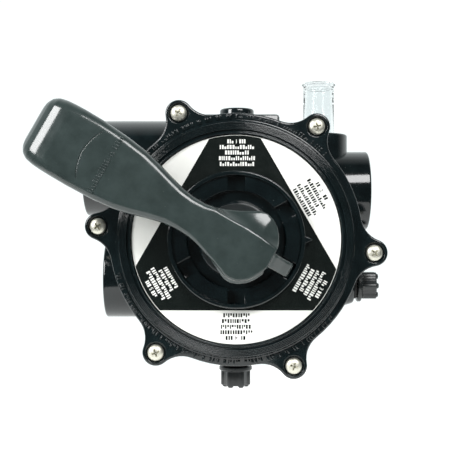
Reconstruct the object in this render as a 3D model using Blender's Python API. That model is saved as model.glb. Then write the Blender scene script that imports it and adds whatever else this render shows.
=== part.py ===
"""Six-way side-mount selector valve: a bowl with five pipe ports, a screwed cover and a turning rotor.

Everything is drawn in the valve's own frame: the valve axis is local +Z, from the tank ports at z = 0
towards the handle, and the sight glass points along local +Y. One empty then stands that frame up, so
that the cover faces world -Y and the sight glass points up.
"""

from math import acos, cos, pi, radians, sin, tau

import bmesh
import bpy
from mathutils import Matrix, Vector

MM = 0.001
GAP = 0.3 * MM  # clearance between pieces that rest on each other

# Lobed flange, shared by body and cover
LOBES = 6
LOBE_TURN = radians(54.5)
SCREW_CIRCLE = 101.5 * MM
LOBE_RADIUS = 9.8 * MM
LOBE_FILLET = 20 * MM
FLANGE_RADIUS = 92.7 * MM
SCREW_HOLE = 3.3 * MM
COUNTERBORE = 7.3 * MM
COUNTERBORE_DEPTH = 1.7 * MM

# Stations along the valve axis
TANK_FACE = 0.0
BOWL_FLOOR = 28 * MM
POCKET_FLOOR = 34 * MM
PORT_AXIS = 70 * MM
LEDGE = 82 * MM
SEAT = 88 * MM
ROTOR_FACE = 91.3 * MM
BODY_FLANGE_BACK = 111 * MM
BODY_FLANGE_FACE = 123 * MM
COVER_FLANGE_BACK = 123.3 * MM
COVER_FLANGE_FACE = 135 * MM
COVER_ROOF = 134 * MM
LABEL_FLOOR = 140.4 * MM
RIDGE_TOP = 143 * MM
TEETH_TOP = 147 * MM
BOSS_TOP = 149 * MM
TOWER_TOP = 152 * MM
HEEL = 154.3 * MM
PIN_HEIGHT = 170 * MM
HANDLE_TOP = 187 * MM

# Body
BOWL_RADIUS = 83 * MM
CHAMBER_RADIUS = 78 * MM
LEDGE_RADIUS = 65 * MM
HUB_RADIUS = 14 * MM
WALL = 5 * MM
PORT_RADIUS = 31 * MM
PUMP_PORT_RADIUS = 37.5 * MM
PORT_BORE = 24 * MM
PORT_DEPTH = 26 * MM
PASSAGE = 17 * MM
TANK_PORT_OFFSET = 62.5 * MM
PORT_START = 26 * MM  # how far from the valve axis a side port's tube begins, hidden in the bowl
TANK_PORT_END = 37.5 * MM
# Side ports: mouth's x, axis's y, outside radius, and how far in along X the passage reaches
SIDE_PORTS = {
    "waste_port": (104 * MM, 38 * MM, PORT_RADIUS, 56 * MM),
    "return_port": (-102 * MM, -31 * MM, PORT_RADIUS, 60 * MM),
    "pump_port": (-117.5 * MM, 56 * MM, PUMP_PORT_RADIUS, 46 * MM),
}

# Sight glass
GLASS_X = 66 * MM
GLASS_BOSS_RADIUS = 22.5 * MM
GLASS_BOSS_TOP = 82.5 * MM
GLASS_PASSAGE = 7.5 * MM
GLASS_SEAT = 70 * MM
GLASS_TOP = 123.6 * MM
GLASS_RADIUS = 12.25 * MM
GLASS_BORE = 9.8 * MM

# Hand-turned plugs
DRAIN_FACE = -98 * MM
SIDE_PLUG_FACE = 93 * MM
SIDE_PLUG_Y = -37 * MM
PLUG_HOLE = 7 * MM

# Cover
RIDGE_INNER = 76.6 * MM
RIDGE_OUTER = 87 * MM
RIDGE_SHOULDER = 84.4 * MM
BOSS_RADIUS = 49.6 * MM
TEETH_RADIUS = 46.4 * MM
RECESS_RADIUS = 35.4 * MM
SLOT_WIDTH = 12.6 * MM
TOWER_RADIUS = 27 * MM
STEM_RADIUS = 9 * MM
STEM_BORE = 9.4 * MM

# Handle
HANDLE_TURN = radians(150)
HUB_BASE = 24 * MM
TONGUE_REACH = 43.6 * MM
TONGUE_WIDTH = 10.8 * MM
PADDLE_BASE = 163 * MM
PADDLE_TIP = 161.8 * MM
PADDLE_WALL = 4 * MM
RIB = 3 * MM
# Distance along the handle and half-width there, in millimetres
PADDLE_NECK = ((14, 17), (26, 14.2), (37, 13.2), (49, 14.3))
PADDLE_BLADE = ((68, 19.4), (83, 23.3), (100, 25.3), (120, 26), (146, 25.3))
PIN_RADIUS = 3 * MM
PIN_LENGTH = 43 * MM

BLACK_ABS = ("black_abs", (0.022, 0.025, 0.026, 1), 0.28, 0.0)
GREY_BLACK_ABS = ("charcoal_abs", (0.05, 0.056, 0.056, 1), 0.42, 0.0)
STAINLESS = ("stainless_steel", (0.62, 0.61, 0.58, 1), 0.3, 1.0)
RUBBER = ("black_rubber", (0.015, 0.015, 0.015, 1), 0.6, 0.0)
CLEAR = ("clear_polycarbonate", (0.9, 0.94, 0.94, 1), 0.05, 0.0)
LABEL_WHITE = ("label_film", (0.85, 0.85, 0.84, 1), 0.4, 0.0)
ACETAL = ("natural_acetal", (0.8, 0.79, 0.74, 1), 0.4, 0.0)


def material_of(finish):
    name, colour, roughness, metallic = finish
    found = bpy.data.materials.get(name)
    if found:
        return found
    made = bpy.data.materials.new(name)
    made.use_nodes = True
    shader = made.node_tree.nodes["Principled BSDF"]
    shader.inputs["Base Color"].default_value = colour
    shader.inputs["Roughness"].default_value = roughness
    shader.inputs["Metallic"].default_value = metallic
    return made


def clear_scene():
    for obj in list(bpy.data.objects):
        bpy.data.objects.remove(obj)


def turned(profile, segments=40):
    """A closed turned solid about Z from (radius, height) points, in either direction."""
    shape = bmesh.new()
    verts = [shape.verts.new((r, 0, z)) for r, z in profile]
    edges = [shape.edges.new(pair) for pair in zip(verts, verts[1:])]
    if profile[0][0] > 0 or profile[-1][0] > 0:
        edges.append(shape.edges.new((verts[-1], verts[0])))
    bmesh.ops.spin(
        shape, geom=verts + edges, cent=(0, 0, 0), axis=(0, 0, 1), angle=tau, steps=segments, use_merge=True
    )
    bmesh.ops.remove_doubles(shape, verts=shape.verts[:], dist=1e-6)
    bmesh.ops.recalc_face_normals(shape, faces=shape.faces[:])
    return shape


def rod(radius, low, high, segments=24):
    return turned([(0, low), (radius, low), (radius, high), (0, high)], segments)


def prism(outline, low, high):
    """An outline in the XY plane, extruded from one height to another."""
    shape = bmesh.new()
    face = shape.faces.new([shape.verts.new((x, y, low)) for x, y in outline])
    swept = bmesh.ops.extrude_face_region(shape, geom=[face])
    verts = [item for item in swept["geom"] if isinstance(item, bmesh.types.BMVert)]
    bmesh.ops.translate(shape, verts=verts, vec=(0, 0, high - low))
    bmesh.ops.recalc_face_normals(shape, faces=shape.faces[:])
    return shape


def block(low, high):
    """A box between two corners."""
    low, high = Vector(low), Vector(high)
    return prism([(low.x, low.y), (high.x, low.y), (high.x, high.y), (low.x, high.y)], low.z, high.z)


def torus(ring, section, segments=24, sides=6):
    return turned(
        [(ring + section * cos(tau * i / sides), section * sin(tau * i / sides)) for i in range(sides)]
        + [(ring + section, 0)],
        segments,
    )


def placed(shape, matrix):
    bmesh.ops.transform(shape, matrix=matrix, verts=shape.verts[:])
    return shape


def along(direction, at):
    """Turns local +Z towards a direction and moves the origin to a point."""
    turn = Vector((0, 0, 1)).rotation_difference(Vector(direction)).to_matrix().to_4x4()
    return Matrix.Translation(at) @ turn


def mesh_of(name, shape):
    mesh = bpy.data.meshes.new(name)
    shape.to_mesh(mesh)
    shape.free()
    return mesh


def combine(shape, operation, tools, solver="EXACT"):
    """One Boolean after another between a bmesh and each of the tools. The result is a new bmesh."""
    target = bpy.data.objects.new("target", mesh_of("target", shape))
    bpy.context.scene.collection.objects.link(target)
    for tool in tools:
        helper = bpy.data.objects.new("helper", mesh_of("helper", tool))
        bpy.context.scene.collection.objects.link(helper)
        modifier = target.modifiers.new("combine", "BOOLEAN")
        modifier.operation = operation
        modifier.solver = solver
        modifier.object = helper
        graph = bpy.context.evaluated_depsgraph_get()
        result = bpy.data.meshes.new_from_object(target.evaluated_get(graph))
        target.modifiers.clear()
        target.data = result
        bpy.data.objects.remove(helper)
    joined = bmesh.new()
    joined.from_mesh(target.data)
    bpy.data.objects.remove(target)
    bmesh.ops.remove_doubles(joined, verts=joined.verts[:], dist=1e-6)
    bmesh.ops.dissolve_degenerate(joined, edges=joined.edges[:], dist=1e-6)
    return joined


def union(shape, *tools):
    return combine(shape, "UNION", tools)


def cut(shape, *tools):
    return combine(shape, "DIFFERENCE", tools)


def add_piece(name, mesh, finish, parent, place=None):
    piece = bpy.data.objects.new(name, mesh)
    bpy.context.scene.collection.objects.link(piece)
    piece.parent = parent
    if place is not None:
        piece.matrix_local = place
    if not mesh.materials:
        mesh.materials.append(material_of(finish))
        mesh.shade_smooth()
        mesh.set_sharp_from_angle(angle=radians(35))
    return piece


def ring_points(radius):
    """The six lobe directions at a radius."""
    angles = [LOBE_TURN + tau * k / LOBES for k in range(LOBES)]
    return [Vector((radius * cos(angle), radius * sin(angle))) for angle in angles]


def arc(centre, radius, start, end, steps):
    return [
        (
            centre[0] + radius * cos(start + (end - start) * i / steps),
            centre[1] + radius * sin(start + (end - start) * i / steps),
        )
        for i in range(steps + 1)
    ]


def angle_between(near, far, opposite):
    """Angle of a triangle between the sides near and far."""
    return acos((near**2 + far**2 - opposite**2) / (2 * near * far))


def lobed_outline():
    """Base circle with six screw lobes, each joined to it by two concave fillets."""
    reach = FLANGE_RADIUS + LOBE_FILLET
    side = LOBE_RADIUS + LOBE_FILLET
    # Angle at the valve axis between a lobe's centre and its fillet's centre
    spread = angle_between(SCREW_CIRCLE, reach, side)
    # Direction from the lobe's centre to its fillet's centre, measured from the radial line
    lean = pi - angle_between(SCREW_CIRCLE, side, reach)
    outline = []
    for k in range(LOBES):
        middle = LOBE_TURN + tau * k / LOBES
        lobe = (SCREW_CIRCLE * cos(middle), SCREW_CIRCLE * sin(middle))
        for sign in (-1, 1):
            centre_angle = middle + sign * spread
            fillet = (reach * cos(centre_angle), reach * sin(centre_angle))
            base_side = centre_angle + pi
            lobe_side = middle + sign * lean + pi
            if sign < 0:
                outline += arc(fillet, LOBE_FILLET, base_side, lobe_side, 4)
                outline += arc(lobe, LOBE_RADIUS, middle - lean, middle + lean, 8)[1:-1]
            else:
                outline += arc(fillet, LOBE_FILLET, lobe_side, base_side, 4)
        next_start = middle + tau / LOBES - spread
        outline += arc((0, 0), FLANGE_RADIUS, middle + spread, next_start, 4)[1:-1]
    return outline


def chamber(high):
    """The bowl's inside, rounded towards its floor, up to a height."""
    profile = [(0, POCKET_FLOOR), (69 * MM, POCKET_FLOOR), (75 * MM, 39 * MM), (CHAMBER_RADIUS, 47 * MM)]
    return turned([*profile, (CHAMBER_RADIUS, high), (0, high)], 40)


def sector_walls():
    """Hub and six radial walls that part the bowl into wedge-shaped spaces, with the ledge above them."""
    bars = []
    for k in range(3):
        bar = block((-0.1, -WALL / 2, POCKET_FLOOR), (0.1, WALL / 2, SEAT))
        bars.append(placed(bar, Matrix.Rotation(pi * k / 3, 4, "Z")))
    cross = combine(rod(HUB_RADIUS, POCKET_FLOOR, SEAT, 24), "UNION", bars, "MANIFOLD")
    ledge = [(LEDGE_RADIUS, LEDGE), (CHAMBER_RADIUS, LEDGE), (CHAMBER_RADIUS, SEAT), (LEDGE_RADIUS, SEAT)]
    walls = combine(combine(cross, "INTERSECT", [chamber(SEAT)], "MANIFOLD"), "UNION", [turned(ledge, 40)], "MANIFOLD")
    # The pump's wedge opens past the ledge, so that its water reaches the space above the rotor.
    riser = wedge(LEDGE_RADIUS - 3 * MM, 76 * MM, radians(126), radians(174), LEDGE - 4 * MM, SEAT + 4 * MM)
    return combine(walls, "DIFFERENCE", [riser], "MANIFOLD")


def port_places():
    """Each port's name, mouth, outward direction, outside radius and depth from its mouth to its far end."""
    places = []
    for name, (x, y, radius, reach) in SIDE_PORTS.items():
        places.append((name, Vector((x, y, PORT_AXIS)), Vector((x, 0, 0)).normalized(), radius, abs(x) - reach))
    for name, side in (("tank_port_upper", 1), ("tank_port_lower", -1)):
        mouth = Vector((0, side * TANK_PORT_OFFSET, TANK_FACE))
        places.append((name, mouth, Vector((0, 0, -1)), PORT_RADIUS, POCKET_FLOOR + 4.3 * MM))
    return places


def port_hollows(mouth, outward, depth):
    """The pipe socket and the narrower passage behind it, as two cutters that leave through the mouth."""
    place = along(outward, mouth)
    socket = rod(PORT_BORE, -PORT_DEPTH, MM)
    passage = rod(PASSAGE, -depth, -PORT_DEPTH + MM)
    return [placed(socket, place), placed(passage, place)]


def glass_hollows():
    """The sight glass's seat and the hole that joins it to the waste passage."""
    up = along((0, 1, 0), (GLASS_X, 0, PORT_AXIS))
    seat = rod(GLASS_RADIUS + 0.4 * MM, GLASS_SEAT, 90 * MM)
    return [placed(seat, up), placed(rod(GLASS_PASSAGE, 40 * MM, GLASS_SEAT + MM), up)]


def body_outside():
    """The bowl with its flange, its two plug bosses and the shoulder and boss on top, still solid."""
    bowl = turned(
        [
            (0, BOWL_FLOOR),
            (64 * MM, BOWL_FLOOR),
            (74 * MM, 31 * MM),
            (80.5 * MM, 38 * MM),
            (BOWL_RADIUS, 48 * MM),
            (BOWL_RADIUS, BODY_FLANGE_BACK + MM),
            (0, BODY_FLANGE_BACK + MM),
        ]
    )
    flange = prism(lobed_outline(), BODY_FLANGE_BACK, BODY_FLANGE_FACE)
    drain_face, side_face = -DRAIN_FACE, SIDE_PLUG_FACE
    drain_boss = turned(
        [(0, 60 * MM), (21 * MM, 60 * MM), (21 * MM, 84 * MM), (14 * MM, drain_face), (0, drain_face)], 24
    )
    side_boss = turned(
        [(0, 60 * MM), (20 * MM, 60 * MM), (20 * MM, 76 * MM), (14 * MM, side_face), (0, side_face)], 24
    )
    placed(drain_boss, along((0, -1, 0), (0, 0, PORT_AXIS)))
    placed(side_boss, along((1, 0, 0), (0, SIDE_PLUG_Y, PORT_AXIS)))
    shoulder = block((-26 * MM, 60 * MM, 50 * MM), (34 * MM, 97 * MM, 90 * MM))
    top_boss = placed(rod(13.5 * MM, 60 * MM, 103 * MM), along((0, 1, 0), (1 * MM, 0, PORT_AXIS)))
    # The exact solver leaves slivers open where bosses meet the bowl, so bowl and ports use the manifold one.
    return combine(bowl, "UNION", [flange, drain_boss, side_boss, shoulder, top_boss], "MANIFOLD")


def make_port(name, mouth, outward, radius, depth):
    """A pipe socket, its inner end shaped to the bowl. The waste port carries the sight glass's boss."""
    length = TANK_PORT_END if name.startswith("tank") else abs(mouth.x) - PORT_START
    port = placed(rod(radius, -length, 0, 40), along(outward, mouth))
    hollows = [body_outside(), *port_hollows(mouth, outward, depth)]
    if name == "waste_port":
        boss = rod(GLASS_BOSS_RADIUS, 40 * MM, GLASS_BOSS_TOP, 32)
        port = combine(port, "UNION", [placed(boss, along((0, 1, 0), (GLASS_X, 0, PORT_AXIS)))], "MANIFOLD")
        hollows += glass_hollows()
    return combine(port, "DIFFERENCE", hollows, "MANIFOLD")


def make_body():
    hollows = [chamber(BODY_FLANGE_FACE + MM)]
    for name, mouth, outward, radius, depth in port_places():
        hollows += port_hollows(mouth, outward, depth)
    hollows.append(glass_hollows()[1])
    hollows.append(placed(rod(PLUG_HOLE, 70 * MM, 100 * MM), along((0, -1, 0), (0, 0, PORT_AXIS))))
    hollows.append(placed(rod(PLUG_HOLE, 60 * MM, 100 * MM), along((1, 0, 0), (0, SIDE_PLUG_Y, PORT_AXIS))))
    for centre in ring_points(SCREW_CIRCLE):
        hole = rod(SCREW_HOLE, BODY_FLANGE_BACK - MM, BODY_FLANGE_FACE + MM, 12)
        hollows.append(placed(hole, Matrix.Translation((centre.x, centre.y, 0))))
    return combine(body_outside(), "DIFFERENCE", hollows, "MANIFOLD")


def make_gasket():
    low, high = SEAT + GAP, SEAT + 2.7 * MM
    ring = turned([(65.5 * MM, low), (71.5 * MM, low), (71.5 * MM, high), (65.5 * MM, high)])
    hub = turned([(8 * MM, low), (HUB_RADIUS - GAP, low), (HUB_RADIUS - GAP, high), (8 * MM, high)], 24)
    spokes = []
    for k in range(LOBES):
        spoke = block((12 * MM, -1.8 * MM, low), (67 * MM, 1.8 * MM, high))
        spokes.append(placed(spoke, Matrix.Rotation(tau * k / LOBES, 4, "Z")))
    return union(ring, hub, *spokes)


def make_cover():
    plate = prism(lobed_outline(), COVER_FLANGE_BACK, COVER_FLANGE_FACE)
    flange = cut(plate, rod(75 * MM, COVER_FLANGE_BACK - MM, COVER_FLANGE_FACE + MM, 40))
    crown = turned(
        [
            (72 * MM, 114 * MM),
            (77.7 * MM, 114 * MM),
            (77.7 * MM, 117 * MM),
            (74.5 * MM, 117 * MM),
            (74.5 * MM, 121 * MM),
            (77.7 * MM, 121 * MM),
            (77.7 * MM, COVER_FLANGE_BACK + MM),
            (RIDGE_OUTER + MM, COVER_FLANGE_BACK + MM),
            (RIDGE_OUTER + MM, COVER_FLANGE_FACE - MM),
            (RIDGE_OUTER, COVER_FLANGE_FACE),
            (RIDGE_SHOULDER, RIDGE_TOP),
            (RIDGE_INNER, RIDGE_TOP),
            (RIDGE_INNER, LABEL_FLOOR),
            (BOSS_RADIUS, LABEL_FLOOR),
            (BOSS_RADIUS, BOSS_TOP),
            (TEETH_RADIUS, BOSS_TOP),
            (TEETH_RADIUS, TEETH_TOP),
            (RECESS_RADIUS, TEETH_TOP),
            (RECESS_RADIUS, 139 * MM),
            (TOWER_RADIUS, 139 * MM),
            (TOWER_RADIUS, TOWER_TOP),
            (STEM_BORE, TOWER_TOP),
            (STEM_BORE, 128 * MM),
            (13.5 * MM, 128 * MM),
            (13.5 * MM, 147 * MM),
            (22.5 * MM, 147 * MM),
            (22.5 * MM, COVER_ROOF),
            (72 * MM, COVER_ROOF),
        ]
    )
    pointer = [(49 * MM, -2.9 * MM), (54.5 * MM, 0), (49 * MM, 2.9 * MM)]
    nib = prism(pointer, LABEL_FLOOR + 1.4 * MM, BOSS_TOP - MM)
    cover = union(crown, flange, nib)
    cutters = []
    for k in range(LOBES):
        inner, outer = RECESS_RADIUS - 3 * MM, TEETH_RADIUS - 0.2 * MM
        slot = block((inner, -SLOT_WIDTH / 2, 141 * MM), (outer, SLOT_WIDTH / 2, TEETH_TOP + MM))
        cutters.append(placed(slot, Matrix.Rotation(radians(30) + tau * k / LOBES, 4, "Z")))
    for centre in ring_points(SCREW_CIRCLE):
        seat = COVER_FLANGE_FACE - COUNTERBORE_DEPTH
        high = COVER_FLANGE_FACE + MM
        low = COVER_FLANGE_BACK - MM
        profile = [(0, low), (SCREW_HOLE, low), (SCREW_HOLE, seat)]
        profile += [(COUNTERBORE, seat), (COUNTERBORE, high), (0, high)]
        cutters.append(placed(turned(profile, 12), Matrix.Translation((centre.x, centre.y, 0))))
    return cut(cover, *cutters)


def make_label():
    low, high = LABEL_FLOOR + GAP, LABEL_FLOOR + 0.9 * MM
    inner, outer = BOSS_RADIUS + GAP, RIDGE_INNER - 0.7 * MM
    return turned([(inner, low), (outer, low), (outer, high), (inner, high)])


def make_screw():
    """An M6 pan-head screw with a cross recess, drawn with the underside of its head at z = 0."""
    shank = [(0, -33 * MM), (3 * MM, -33 * MM), (3 * MM, 0)]
    head = [(6 * MM, 0), (6 * MM, 1.6 * MM), (4.9 * MM, 3.4 * MM), (2.6 * MM, 4.2 * MM), (0, 4.4 * MM)]
    screw = turned(shank + head, 12)
    blades = [
        block((-3 * MM, -0.6 * MM, 2.2 * MM), (3 * MM, 0.6 * MM, 6 * MM)),
        block((-0.6 * MM, -3 * MM, 2.2 * MM), (0.6 * MM, 3 * MM, 6 * MM)),
    ]
    return cut(screw, *blades)


def make_nut():
    """An M6 nut with its seat face at z = 0, hanging towards -Z."""
    across_corners = 10 * MM / cos(pi / 6)
    outline = [(across_corners / 2 * cos(tau * k / 6), across_corners / 2 * sin(tau * k / 6)) for k in range(6)]
    return cut(prism(outline, -5 * MM, 0), rod(3.2 * MM, -6 * MM, MM, 12))


def make_washer():
    return turned([(3.3 * MM, -1.6 * MM), (6 * MM, -1.6 * MM), (6 * MM, 0), (3.3 * MM, 0)], 12)


def make_sight_glass():
    """A clear cup, open downwards, with a lip round its closed top, drawn along Z."""
    return turned(
        [
            (0, GLASS_TOP),
            (13.25 * MM, GLASS_TOP),
            (13.25 * MM, GLASS_TOP - 1.8 * MM),
            (GLASS_RADIUS - 0.3 * MM, GLASS_TOP - 2.6 * MM),
            (GLASS_RADIUS, GLASS_SEAT + 2.5 * MM),
            (GLASS_BORE, GLASS_SEAT + 2.5 * MM),
            (GLASS_BORE - 0.4 * MM, GLASS_TOP - 3 * MM),
            (0, GLASS_TOP - 3 * MM),
        ],
        24,
    )


def make_plug():
    """A hand-turned plug along +Z with the boss's face at z = 0: a thread, a collar and a fluted knob."""
    plug = turned(
        [
            (0, -12 * MM),
            (6.6 * MM, -12 * MM),
            (6.6 * MM, 3 * MM),
            (13 * MM, 3 * MM),
            (13 * MM, 6.3 * MM),
            (11.7 * MM, 6.3 * MM),
            (11.7 * MM, 17.6 * MM),
            (10 * MM, 19.6 * MM),
            (0, 19.6 * MM),
        ],
        24,
    )
    flutes = []
    for centre in ring_points(12.6 * MM):
        flutes.append(placed(rod(2.1 * MM, 8 * MM, 22 * MM, 8), Matrix.Translation((centre.x, centre.y, 0))))
    return cut(plug, *flutes)


def make_rotor():
    """Sealing plate, domed hub and stem, with one wedge window and a shallow bridge over two wedges."""
    rotor = turned(
        [
            (0, ROTOR_FACE),
            (72 * MM, ROTOR_FACE),
            (72 * MM, 96 * MM),
            (60 * MM, 98.5 * MM),
            (26 * MM, 104 * MM),
            (22 * MM, 108 * MM),
            (STEM_RADIUS, 108 * MM),
            (STEM_RADIUS, 136 * MM),
            (7.6 * MM, 136 * MM),
            (7.6 * MM, 139 * MM),
            (STEM_RADIUS, 139 * MM),
            (STEM_RADIUS, 141.5 * MM),
            (7.6 * MM, 141.5 * MM),
            (7.6 * MM, 144.5 * MM),
            (STEM_RADIUS, 144.5 * MM),
            (STEM_RADIUS, 177 * MM),
            (8 * MM, 178 * MM),
            (0, 178 * MM),
        ]
    )
    window = wedge(18 * MM, 62 * MM, radians(94), radians(146), 80 * MM, 120 * MM)
    bridge = wedge(18 * MM, 62 * MM, radians(-146), radians(-34), 80 * MM, 95 * MM)
    pin_bore = placed(rod(PIN_RADIUS + 0.05 * MM, -20 * MM, 20 * MM, 24), pin_place())
    return cut(rotor, window, bridge, pin_bore)


def wedge(inner, outer, start, end, low, high):
    outline = arc((0, 0), inner, start, end, 6) + arc((0, 0), outer, end, start, 6)
    return prism(outline, low, high)


def pin_place():
    """Frame of the handle's pin: its centre on the valve axis, its length across the handle."""
    return handle_place() @ Matrix.Rotation(pi / 2, 4, "X")


def handle_place():
    """Frame of the handle: its origin at the pin's centre, its +X along the paddle."""
    return Matrix.Translation((0, 0, PIN_HEIGHT)) @ Matrix.Rotation(HANDLE_TURN, 4, "Z")


def make_spring():
    """A helical spring round the cover's bush, as one closed tube with flat ends."""
    low, high, coil, wire = 111.6 * MM, 143.2 * MM, 17.8 * MM, 1.5 * MM
    turns, steps, sides = 5, 16, 5
    shape = bmesh.new()
    rings = []
    for i in range(turns * steps + 1):
        out = Vector((cos(tau * i / steps), sin(tau * i / steps), 0))
        centre = out * coil + Vector((0, 0, low + (high - low) * i / (turns * steps)))
        ring = []
        for k in range(sides):
            around = tau * k / sides
            ring.append(shape.verts.new(centre + out * wire * cos(around) + Vector((0, 0, wire * sin(around)))))
        rings.append(ring)
    for near, far in zip(rings, rings[1:]):
        for k in range(sides):
            shape.faces.new((near[k], near[(k + 1) % sides], far[(k + 1) % sides], far[k]))
    shape.faces.new(rings[0])
    shape.faces.new(rings[-1][::-1])
    bmesh.ops.recalc_face_normals(shape, faces=shape.faces[:])
    return shape


def make_spring_washer():
    inner, outer, thickness = 14.2 * MM, 21.8 * MM, 1.2 * MM
    return turned([(inner, 0), (outer, 0), (outer, thickness), (inner, thickness)], 24)


def make_thrust_washer():
    low, high, outer = TOWER_TOP + GAP, HEEL - GAP, 26 * MM
    return turned([(STEM_BORE, low), (outer, low), (outer, high), (STEM_BORE, high)], 32)


def paddle_outline(inset=0.0):
    """Half-widths along the handle: narrow neck, wide rounded paddle. The handle points along +X."""
    side = []
    for reach, half in PADDLE_NECK + PADDLE_BLADE:
        side.append((reach * MM, half * MM - inset))
    corner = (150.4 * MM - inset, 13.8 * MM - inset / 2)
    side += arc(corner, 11.2 * MM - inset / 2, radians(80), radians(12), 4)
    side.append((PADDLE_TIP - inset, 6 * MM))
    return side + [(x, -y) for x, y in reversed(side)]


def side_profile(points, half_width):
    """A slab across the handle, from (distance along it, height) points in millimetres."""
    slab = prism([(x * MM, z * MM) for x, z in points], -half_width, half_width)
    return placed(slab, Matrix.Rotation(pi / 2, 4, "X"))


def underside_bays():
    """Hollows under the paddle, parted by a middle rib and cross ribs."""
    outline = [point for point in paddle_outline(PADDLE_WALL) if point[0] > 46 * MM]
    bays = prism(outline, PADDLE_BASE - MM, HANDLE_TOP - 4.5 * MM)
    low = PADDLE_BASE - 2 * MM
    ribs = [block((30 * MM, -RIB / 2, low), (170 * MM, RIB / 2, HANDLE_TOP))]
    for x in (68 * MM, 90 * MM, 112 * MM, 134 * MM):
        ribs.append(block((x - RIB / 2, -40 * MM, low), (x + RIB / 2, 40 * MM, HANDLE_TOP)))
    nose = block((149 * MM, -40 * MM, low), (170 * MM, 40 * MM, HANDLE_TOP))
    return cut(bays, *ribs, nose)


def make_handle():
    """Paddle, hub and locking tongue, drawn pointing along +X with the pin's centre at the origin."""
    paddle = prism(paddle_outline(), PADDLE_BASE, HANDLE_TOP)
    rim = [e for e in paddle.edges if all(abs(v.co.z - HANDLE_TOP) < 1e-6 for v in e.verts)]
    bmesh.ops.bevel(paddle, geom=rim, offset=5 * MM, segments=3, profile=0.5, affect="EDGES", material=-1)
    curl = [(145.6, 187.2), (154, 185), (159.6, 179.4), (162.4, 170), (170, 170), (170, 190), (145.6, 190)]
    paddle = cut(paddle, side_profile(curl, 40 * MM))
    hub = turned(
        [
            (0, HEEL),
            (HUB_BASE, HEEL),
            (26 * MM, 157 * MM),
            (29 * MM, 167 * MM),
            (28.5 * MM, 175 * MM),
            (24 * MM, 180 * MM),
            (12 * MM, HANDLE_TOP - 2 * MM),
            (0, HANDLE_TOP - 2 * MM),
        ]
    )
    reach = TONGUE_REACH / MM
    lower = [(-reach, 147.4), (-36, 147.4), (-30, 153), (-20, 160), (20, 170), (20, 187)]
    upper = [(-10, 187), (-24, 182), (-36, 170), (-reach, 164)]
    tongue = side_profile(lower + upper, TONGUE_WIDTH / 2)
    saddle = side_profile([(-24, 170), (26, 170), (26, 187), (-10, 187), (-24, 182)], 9 * MM)
    handle = union(paddle, hub, saddle, tongue)
    stem_slot = block((-13 * MM, -9.6 * MM, 150 * MM), (13 * MM, 9.6 * MM, 181 * MM))
    pin_bore = rod(PIN_RADIUS + 0.09 * MM, -40 * MM, 40 * MM)
    placed(pin_bore, Matrix.Translation((0, 0, PIN_HEIGHT)) @ Matrix.Rotation(pi / 2, 4, "X"))
    handle = cut(handle, underside_bays(), stem_slot, pin_bore)
    return placed(handle, Matrix.Translation((0, 0, -PIN_HEIGHT)))


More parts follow.
